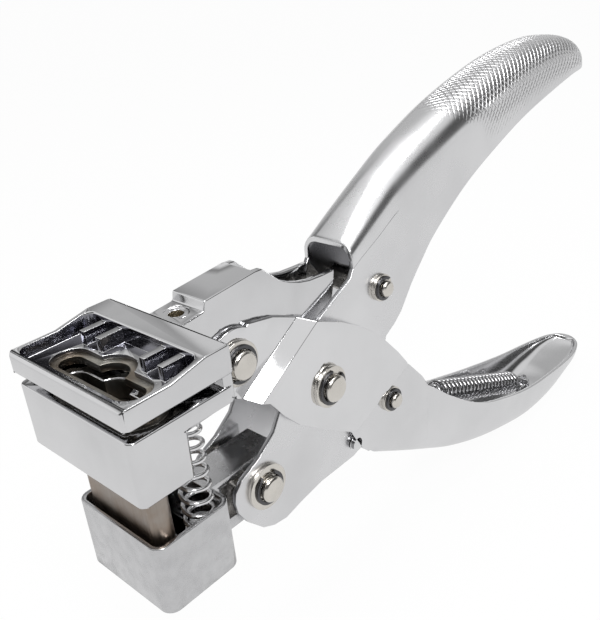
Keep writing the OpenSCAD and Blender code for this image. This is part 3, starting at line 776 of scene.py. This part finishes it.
def lay_grip(mesh, outer, fine):
    """Coordinates along and around the grip in metres, and where its knurl may be cut."""
    along = [0.0]
    for before, after in zip(fine, fine[1:]):
        along.append(along[-1] + math.hypot(after[0] - before[0], after[1] - before[1]))
    places = []
    for row, ring, u in zip(fine, outer, along):
        around = [0.0]
        for p, q in zip(ring, ring[1:]):
            around.append(around[-1] + (q - p).length)
        for p, v in zip(ring, around):
            high = (p.z - row[2]) / (row[1] - row[2])
            begin = KNURL_START + KNURL_SLANT * (1 - high)
            share = 0.5 + min((p.x - begin) / KNURL_FADE, (high - KNURL_BARE) / KNURL_BARE)
            places.append((u, v - around[-1] / 2, min(1.0, max(0.0, share))))
    mask = mesh.attributes.new("knurl", "FLOAT", "POINT")
    layout = mesh.uv_layers.new(name="grip")
    for i, place in enumerate(places):
        mask.data[i].value = place[2]
    for loop in mesh.loops:
        if loop.vertex_index < len(places):
            place = places[loop.vertex_index]
            layout.data[loop.index].uv = (place[0] * MM, place[1] * MM)


def pivot():
    spot = middle("pivot_pin")
    return Vector((spot.x, 0, spot.z))


def arc(x, z, radius, angles):
    """Points of a circle's arc at the given angles in degrees."""
    return [(x + radius * math.cos(math.radians(a)), z + radius * math.sin(math.radians(a)))
            for a in angles]


def flat_sheet(outlines, half, edge, fineness):
    """A flat sheet of twice the half thickness with rounded edges, as a mesh."""
    data = bpy.data.curves.new("sheet", "CURVE")
    data.dimensions = "2D"
    data.fill_mode = "BOTH"
    data.extrude = half - edge
    data.bevel_depth = edge
    data.bevel_resolution = fineness
    data.offset = -edge
    for outline in outlines:
        line = data.splines.new("POLY")
        line.points.add(len(outline) - 1)
        line.use_cyclic_u = True
        for spot, (x, z) in zip(line.points, outline):
            spot.co = (x, z, 0, 1)
    flat = baked(placed("sheet", data))
    mesh = flat.data
    bpy.data.objects.remove(flat)
    return mesh


def bore(pin):
    """Centre and radius of a pin's bore, in millimetres from the main pivot."""
    low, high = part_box(pin)
    spot = ((low + high) / 2 - pivot()) / MM
    return spot.x, spot.z, (high.x - low.x) / 2 / MM + BORE_GAP


def add_tab(lower):
    """The small upright tab in the lower handle that holds the handle spring's rear hook."""
    rear = pull_end()
    ring = arc(0, 0, TAB_HOLE, TAB_ANGLES)
    tab = flat_sheet([TAB_OUTLINE, ring], TAB_HALF, TAB_EDGE, TAB_FINENESS)
    work = bmesh.new()
    work.from_mesh(lower.data)
    start = len(work.verts)
    work.from_mesh(tab)
    work.verts.ensure_lookup_table()
    for v in work.verts[start:]:
        v.co = Vector((rear.x + v.co.z, v.co.x, rear.z - TAB_DROP + v.co.y))
    work.to_mesh(lower.data)
    work.free()


def handle_piece(name, node, body, rows, up, walls, outline, holes, material, inside_shade_or_plating):
    """One handle: a stamped grip and its two flat side plates, joined in one mesh."""
    edge = sizes().sheet_edge
    inside, outside = walls
    grip = placed(name, grip_mesh(name, rows, up, outside - inside))
    for face in grip.data.polygons:
        face.use_smooth = True
    bevel = grip.modifiers.new("edge", "BEVEL")
    bevel.width = edge
    bevel.segments = 3
    bevel.limit_method = "WEIGHT"
    bevel.use_clamp_overlap = False
    bevel.harden_normals = True
    grip = baked(grip)
    grip.data.set_sharp_from_angle(angle=math.radians(GRIP_SHARP_FROM))
    rounds = [arc(*hole, HOLE_ANGLES) for hole in holes]
    outlines = [[(x * MM, z * MM) for x, z in line] for line in [outline] + rounds]
    plate = flat_sheet(outlines, (outside - inside) / 2 * MM, edge, PLATE_FINENESS)
    origin = pivot()
    work = bmesh.new()
    work.from_mesh(grip.data)
    for side in (1, -1):
        start = len(work.verts)
        first = len(work.faces)
        work.from_mesh(plate)
        work.verts.ensure_lookup_table()
        work.faces.ensure_lookup_table()
        # The plates' cut edges take slot 1, which is painted shade
        for face in work.faces[first:]:
            face.material_index = int(abs(face.normal.z) < WALL_SHARE)
        shift = (inside + outside) / 2 * MM
        for v in work.verts[start:]:
            v.co = Vector((v.co.x, side * shift - v.co.z, v.co.y)) + origin
    work.to_mesh(grip.data)
    work.free()
    # Slot 1 darkens the side plates' cut edges as painted shade; slot 2 is the inside, painted
    # shade on the upper handle
    for i, coat in enumerate((material, metal("edge"), inside_shade_or_plating)):
        grip.data.materials[i] = coat
    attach(grip, body)
    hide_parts(node)
    return grip


# Springs as node trees

def wire_tree(name, spiral):
    tree = bpy.data.node_groups.new(name, "GeometryNodeTree")
    tree.is_modifier = True
    face = tree.interface
    face.new_socket("Geometry", in_out="INPUT", socket_type="NodeSocketGeometry")
    for label, kind in (("Wire Radius", "NodeSocketFloat"), ("Sides", "NodeSocketInt"),
                        ("Metal", "NodeSocketMaterial")):
        face.new_socket(label, in_out="INPUT", socket_type=kind)
    if spiral:
        for label, kind in (("Turns", "NodeSocketFloat"), ("Coil Radius", "NodeSocketFloat"),
                            ("Height", "NodeSocketFloat"), ("Foot", "NodeSocketVector")):
            face.new_socket(label, in_out="INPUT", socket_type=kind)
    face.new_socket("Geometry", in_out="OUTPUT", socket_type="NodeSocketGeometry")
    enter = tree.nodes.new("NodeGroupInput")
    leave = tree.nodes.new("NodeGroupOutput")
    circle = tree.nodes.new("GeometryNodeCurvePrimitiveCircle")
    tube = tree.nodes.new("GeometryNodeCurveToMesh")
    tube.inputs["Fill Caps"].default_value = True
    smooth = tree.nodes.new("GeometryNodeSetShadeSmooth")
    real = tree.nodes.new("GeometryNodeRealizeInstances")
    paint = tree.nodes.new("GeometryNodeSetMaterial")
    link = tree.links.new
    link(enter.outputs["Wire Radius"], circle.inputs["Radius"])
    link(enter.outputs["Sides"], circle.inputs["Resolution"])
    link(circle.outputs["Curve"], tube.inputs["Profile Curve"])
    path = enter.outputs["Geometry"]
    if spiral:
        coil = tree.nodes.new("GeometryNodeCurveSpiral")
        coil.inputs["Resolution"].default_value = RETURN_POINTS
        for label, socket in (("Turns", "Rotations"), ("Coil Radius", "Start Radius"),
                              ("Coil Radius", "End Radius"), ("Height", "Height")):
            link(enter.outputs[label], coil.inputs[socket])
        move = tree.nodes.new("GeometryNodeTransform")
        link(coil.outputs["Curve"], move.inputs["Geometry"])
        link(enter.outputs["Foot"], move.inputs["Translation"])
        path = move.outputs["Geometry"]
    link(path, tube.inputs["Curve"])
    link(tube.outputs["Mesh"], smooth.inputs["Geometry"])
    link(smooth.outputs["Geometry"], real.inputs["Geometry"])
    link(real.outputs["Geometry"], paint.inputs["Geometry"])
    link(enter.outputs["Metal"], paint.inputs["Material"])
    link(paint.outputs["Geometry"], leave.inputs["Geometry"])
    return tree


def wired(name, tree, values, data):
    """Runs a wire tree on a mesh or curve and keeps the result as a plain mesh."""
    holder = placed(name, data)
    modifier = holder.modifiers.new("wire", "NODES")
    modifier.node_group = tree
    for item in tree.interface.items_tree:
        if item.in_out == "INPUT" and item.name in values:
            modifier[item.identifier] = values[item.name]
    return baked(holder)


def pull_end():
    """Centre of the handle spring's rear hook."""
    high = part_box("handle_spring")[1]
    for joint in frame["record"]["behaviour"]["joints"]:
        for entry in joint.get("deforming_nodes", []):
            if entry["node"] == "handle_spring":
                level = entry["fixed_end_z_m"]
    return Vector((high.x - CAD_PULL_WIRE / 2 - REAR_HOOK, 0, level))


def pull_path():
    """Points along the handle spring, with the ends of its shank."""
    wire = sizes().pull_wire
    turns = sizes().pull_turns
    pin_low, pin_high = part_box("spring_pin")
    pin = middle("spring_pin")
    front = Vector((pin.x, 0, pin.z))
    rear = pull_end()
    length = (rear - front).length
    run = (rear - front).normalized()
    side = Vector((-run.z, 0, run.x))
    radius = (sizes().pull_coil - wire) / 2
    hook = (pin_high.x - pin_low.x + wire) / 2 + HOOK_GAP

    def along(s, a, b):
        return front + run * s + side * a + Vector((0, b, 0))

    points = []
    for i, a in enumerate(sweep(*FRONT_ARC)):
        aside = HOOK_SIDE - 2 * HOOK_SIDE * i / FRONT_ARC[2]
        points.append(along(-hook * math.cos(a), hook * math.sin(a), aside))
    start = length - COIL_START
    stop = length - COIL_STOP
    for s in (hook + HOOK_LEAD, *SHANK_STOPS, start - COIL_LEAD):
        points.append(along(s, SHANK_SIDE, 0))
    for i in range(turns * COIL_POINTS + 1):
        t = i / COIL_POINTS
        r = radius * min(1.0, t / 2, (turns - t) / 2)
        a = 2 * math.pi * t
        points.append(along(start + (stop - start) * t / turns, r * math.sin(a), r * math.cos(a)))
    for back, drop in REAR_STOPS:
        points.append(along(length - back, drop, 0))
    for a in sweep(*REAR_ARC):
        points.append(along(length - REAR_HOOK * math.cos(a), -REAR_HOOK * math.sin(a), 0))
    return points, front, along(start, 0, 0)


def coat_colour(colour):
    """A colour itself, or the panel's colour of that name."""
    return getattr(colours(), colour) if isinstance(colour, str) else colour


def make_materials():
    made = {}
    for key, (name, colour, *values) in PLATED_COATS.items():
        made[key] = plated_material(name, coat_colour(colour), *values, key == "lever")
    for key, (name, colour, low, high) in GROUND_COATS.items():
        made[key] = ground_material(name, coat_colour(colour), low, high)
    return made


MATERIALS = {}


def metal(name):
    if not MATERIALS:
        MATERIALS.update(make_materials())
    return MATERIALS[name]


# Operators, one for each group of pieces

class PUNCH_OT_head(Operator):
    """Finish the cast head and the die plate"""
    bl_idname = "punch.head"
    bl_label = "Cast head and die"

    def execute(self, context):
        head = rounded("head_casting", "head", "frame", metal("casting"),
                       sizes().casting_edge, (RECESS_BOX, HOLE_BOX), upright_step)
        # The tapped hole is bare metal; the recess walls and the guide walls are darkened as
        # painted shade
        for coat in ("tap", "recess", "bore"):
            head.data.materials.append(metal(coat))
        low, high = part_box("punch")
        guide = ((low.x - GUIDE_MARGIN, low.y - GUIDE_MARGIN, GUIDE_HEIGHTS[0]),
                 (high.x + GUIDE_MARGIN, high.y + GUIDE_MARGIN, GUIDE_HEIGHTS[1]))
        for face in head.data.polygons:
            if abs(face.normal.z) > WALL_SHARE:
                continue
            if math.hypot(face.center.x - HOLE_X, face.center.y) < HOLE_WALL:
                face.material_index = 1
            # Recess walls get the darker painted shade
            elif inside_box(face.center, *RECESS_BOX):
                face.material_index = 2
            # Guide walls get the near-black painted shade
            elif inside_box(face.center, *guide):
                face.material_index = 3
        die = rounded("die_plate", "die", "frame", metal("die"), sizes().pin_edge)
        # The die plate's walls get the near-black painted shade
        die.data.materials.append(metal("bore"))
        for face in die.data.polygons:
            face.material_index = int(abs(face.normal.z) < WALL_SHARE)
        return {"FINISHED"}


class PUNCH_OT_fans(Operator):
    """Finish the two stepped fan plates"""
    bl_idname = "punch.fans"
    bl_label = "Fan plates"

    def execute(self, context):
        for side in ("left", "right"):
            fan = rounded("cheek_plate_" + side, "fan_" + side, "frame", metal("fan"),
                          sizes().sheet_edge)
            # The fan plates' cut edges are darkened as painted shade
            fan.data.materials.append(metal("edge"))
            for face in fan.data.polygons:
                face.material_index = int(abs(face.normal.y) < WALL_SHARE)
        return {"FINISHED"}


class PUNCH_OT_handles(Operator):
    """Finish both handles and lay out the upper grip's knurl"""
    bl_idname = "punch.handles"
    bl_label = "Handles"

    def execute(self, context):
        holes = [bore(pin) for pin in ("pivot_pin", "drive_pin", "upper_pin", "spring_pin")]
        # The upper handle's inside is darkened as painted shade; the lower handle's inside keeps
        # its plating
        handle_piece("lever", "upper_handle", "lever", LEVER_ROWS, 1, LEVER_WALLS,
                     LEVER_RIM, holes, metal("lever"), metal("inside"))
        eye = arc(0, 0, LOWER_EYE, LOWER_EYE_ANGLES)
        holes = [bore("pivot_pin"), bore("lower_pin"), LOWER_HOLE]
        lower = handle_piece("lower", "lower_handle", "frame", LOWER_ROWS, -1, LOWER_WALLS,
                             LOWER_RIM + eye, holes, metal("handle"), metal("handle"))
        add_tab(lower)
        return {"FINISHED"}


class PUNCH_OT_fasteners(Operator):
    """Finish the pins, washers, clips, sleeves, roller and screws"""
    bl_idname = "punch.fasteners"
    bl_label = "Pins and clips"

    def execute(self, context):
        edge = sizes().pin_edge
        groups = frame["record"]["behaviour"]["bodies"]
        for body, nodes in groups.items():
            for node in nodes:
                kind = node.split("_")[-1]
                if kind in ("pin", "washers", "sleeve", "roller"):
                    rounded(node, node + "_bright", body, metal("nickel"), edge)
                if kind in ("clips", "screws"):
                    rounded(node, node + "_dark", body, metal("clip"), edge)
        return {"FINISHED"}


class PUNCH_OT_carrier(Operator):
    """Finish the carrier cup and the punch"""
    bl_idname = "punch.carrier"
    bl_label = "Carrier and punch"

    def execute(self, context):
        rounded("punch_carrier", "cup", "carrier", metal("cup"),
                sizes().sheet_edge)
        rounded("punch", "cutter", "carrier", metal("steel"), sizes().pin_edge)
        return {"FINISHED"}


class PUNCH_OT_springs(Operator):
    """Wind the two return springs and the handle spring"""
    bl_idname = "punch.springs"
    bl_label = "Springs"

    def execute(self, context):
        wire = sizes().coil_wire
        coil = wire_tree("return_coil", True)
        for side in ("left", "right"):
            node = "return_spring_" + side
            low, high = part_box(node)
            spot = (low + high) / 2
            values = {
                "Wire Radius": wire / 2, "Sides": sizes().wire_sides, "Metal": metal("wire"),
                "Turns": RETURN_TURNS, "Coil Radius": (high.x - low.x - wire) / 2,
                "Height": high.z - low.z - wire, "Foot": (spot.x, spot.y, low.z + wire / 2)}
            piece = wired("coil_" + side, coil, values, bpy.data.meshes.new("coil"))
            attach(piece, "frame")
            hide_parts(node)
            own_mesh(piece)
        points, front, foot = pull_path()
        data = bpy.data.curves.new("pull", "CURVE")
        data.dimensions = "3D"
        line = data.splines.new("POLY")
        line.points.add(len(points) - 1)
        for spot, point in zip(line.points, points):
            spot.co = (*point, 1)
        # The handle spring takes the wire darkened as painted shade
        values = {"Wire Radius": sizes().pull_wire / 2, "Sides": PULL_SIDES,
                  "Metal": metal("pull")}
        piece = wired("pull_spring", wire_tree("pull_wire", False), values, data)
        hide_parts("handle_spring")
        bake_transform(piece)
        return {"FINISHED"}


# Stage

def pale_floor(colour, seen_by_camera, seen_in_metal):
    """A diffuse floor that camera and mirror rays see almost white, with some shadow left."""
    material = bpy.data.materials.new("pale floor")
    material.use_nodes = True
    tree = material.node_tree
    tree.nodes.remove(tree.nodes["Principled BSDF"])
    out = tree.nodes["Material Output"]
    plain = tree.nodes.new("ShaderNodeBsdfDiffuse")
    plain.inputs["Color"].default_value = (*colour, 1)
    light = tree.nodes.new("ShaderNodeEmission")
    rays = tree.nodes.new("ShaderNodeLightPath")
    straight = maths(tree, "MULTIPLY", rays.outputs["Is Camera Ray"], seen_by_camera)
    clear = maths(tree, "MAXIMUM", rays.outputs["Is Glossy Ray"],
                  rays.outputs["Is Transmission Ray"])
    seen = maths(tree, "MAXIMUM", straight, maths(tree, "MULTIPLY", clear, seen_in_metal))
    strength = maths(tree, "MULTIPLY_ADD", clear, FLOOR_IN_METAL - 1, 1.0)
    tree.links.new(strength, light.inputs["Strength"])
    mix = tree.nodes.new("ShaderNodeMixShader")
    tree.links.new(seen, mix.inputs["Fac"])
    tree.links.new(plain.outputs[0], mix.inputs[1])
    tree.links.new(light.outputs[0], mix.inputs[2])
    tree.links.new(mix.outputs[0], out.inputs["Surface"])
    return material


def studio_world():
    """White to the camera; to metal, a white horizon under a dark room with a grey rear wall."""
    world = bpy.data.worlds.new("studio")
    bpy.context.scene.world = world
    world.use_nodes = True
    tree = world.node_tree
    back = tree.nodes["Background"]
    place = tree.nodes.new("ShaderNodeTexCoord")
    split = tree.nodes.new("ShaderNodeSeparateXYZ")
    tree.links.new(place.outputs["Generated"], split.inputs[0])
    bands = tree.nodes.new("ShaderNodeValToRGB")
    bands.color_ramp.interpolation = "EASE"
    marks = bands.color_ramp.elements
    while len(marks) < len(SKY):
        marks.new(0.5)
    for mark, (level, shade) in zip(marks, SKY):
        mark.position = level
        mark.color = (shade, shade, shade, 1)
    tree.links.new(split.outputs["Z"], bands.inputs["Fac"])
    along = maths(tree, "MULTIPLY", split.outputs["X"], REAR_TOWARD[0])
    aside = maths(tree, "MULTIPLY_ADD", split.outputs["Y"], REAR_TOWARD[1], along)
    wall = ramp(tree, aside, *REAR_EDGE, 0.0, REAR_GREY)
    high = ramp(tree, split.outputs["Z"], *REAR_FOOT)
    rear = maths(tree, "MULTIPLY", wall, high)
    toward = tree.nodes.new("ShaderNodeVectorMath")
    toward.operation = "DOT_PRODUCT"
    toward.inputs[1].default_value = WINDOW_TOWARD
    tree.links.new(place.outputs["Generated"], toward.inputs[0])
    window = ramp(tree, toward.outputs["Value"], *WINDOW_EDGE, 0.0, WINDOW_GREY)
    level = maths(tree, "MAXIMUM", bands.outputs["Color"], maths(tree, "MAXIMUM", rear, window))
    rays = tree.nodes.new("ShaderNodeLightPath")
    seen = maths(tree, "MAXIMUM", level, rays.outputs["Is Camera Ray"])
    tree.links.new(seen, back.inputs["Color"])
    back.inputs["Strength"].default_value = 1.0


def lamp(name, spot, aim, size, power):
    data = bpy.data.lights.new(name, "AREA")
    data.energy = power
    data.shape = "RECTANGLE"
    data.size = size[0]
    data.size_y = size[1]
    piece = placed(name, data)
    piece.location = spot
    piece.rotation_mode = "QUATERNION"
    piece.rotation_quaternion = (Vector(aim) - Vector(spot)).to_track_quat("-Z", "Y")


class PUNCH_OT_stage(Operator):
    """Lay the floor, hang the lamps and place the camera"""
    bl_idname = "punch.stage"
    bl_label = "Studio"

    def execute(self, context):
        scene = bpy.context.scene
        scene.view_settings.view_transform = "Standard"
        reach = FLOOR_REACH
        level = CAD_BOX[0].z - FLOOR_GAP
        mesh = bpy.data.meshes.new("floor")
        mesh.from_pydata([(-reach, -reach, level), (reach, -reach, level), (reach, reach, level),
                          (-reach, reach, level)], [], [(0, 1, 2, 3)])
        floor = placed("floor", mesh)
        mesh.materials.append(pale_floor((FLOOR_GREY,) * 3, SEEN_BY_CAMERA, SEEN_IN_METAL))
        studio_world()
        for values in LAMPS:
            lamp(*values)
        data = bpy.data.cameras.new("camera")
        data.sensor_fit = "HORIZONTAL"
        data.sensor_width = CAMERA_SENSOR
        data.lens = CAMERA_LENS
        data.clip_start, data.clip_end = CAMERA_CLIP
        camera = placed("camera", data)
        spin = Vector(CAMERA_SPIN)
        turn = Matrix.Rotation(spin.length, 3, spin.normalized())
        axes = Matrix((turn[0], -turn[1], -turn[2])).transposed()
        camera.matrix_world = Matrix.Translation(CAMERA_PLACE) @ axes.to_4x4()
        scene.camera = camera
        return {"FINISHED"}


class PUNCH_PT_panel(Panel):
    bl_label = "Hand Punch"
    bl_idname = "PUNCH_PT_panel"
    bl_space_type = "VIEW_3D"
    bl_region_type = "UI"
    bl_category = "Hand Punch"

    def draw(self, context):
        layout = self.layout
        for group in (context.scene.punch_sizes, context.scene.punch_colours):
            box = layout.box()
            for name in group.__annotations__:
                box.prop(group, name)
        for step in STEPS:
            layout.operator("punch." + step)


STEPS = ("head", "fans", "handles", "fasteners", "carrier", "springs", "stage")
CLASSES = (PunchSizes, PunchColours, PUNCH_OT_head, PUNCH_OT_fans, PUNCH_OT_handles,
           PUNCH_OT_fasteners, PUNCH_OT_carrier, PUNCH_OT_springs, PUNCH_OT_stage,
           PUNCH_PT_panel)


def register():
    for cls in CLASSES:
        bpy.utils.register_class(cls)
    bpy.types.Scene.punch_sizes = PointerProperty(type=PunchSizes)
    bpy.types.Scene.punch_colours = PointerProperty(type=PunchColours)


def unregister():
    del bpy.types.Scene.punch_colours
    del bpy.types.Scene.punch_sizes
    for cls in reversed(CLASSES):
        bpy.utils.unregister_class(cls)


def main():
    register()
    for step in STEPS:
        getattr(bpy.ops.punch, step)()
    bpy.context.view_layer.update()


if __name__ == "__main__":
    main()
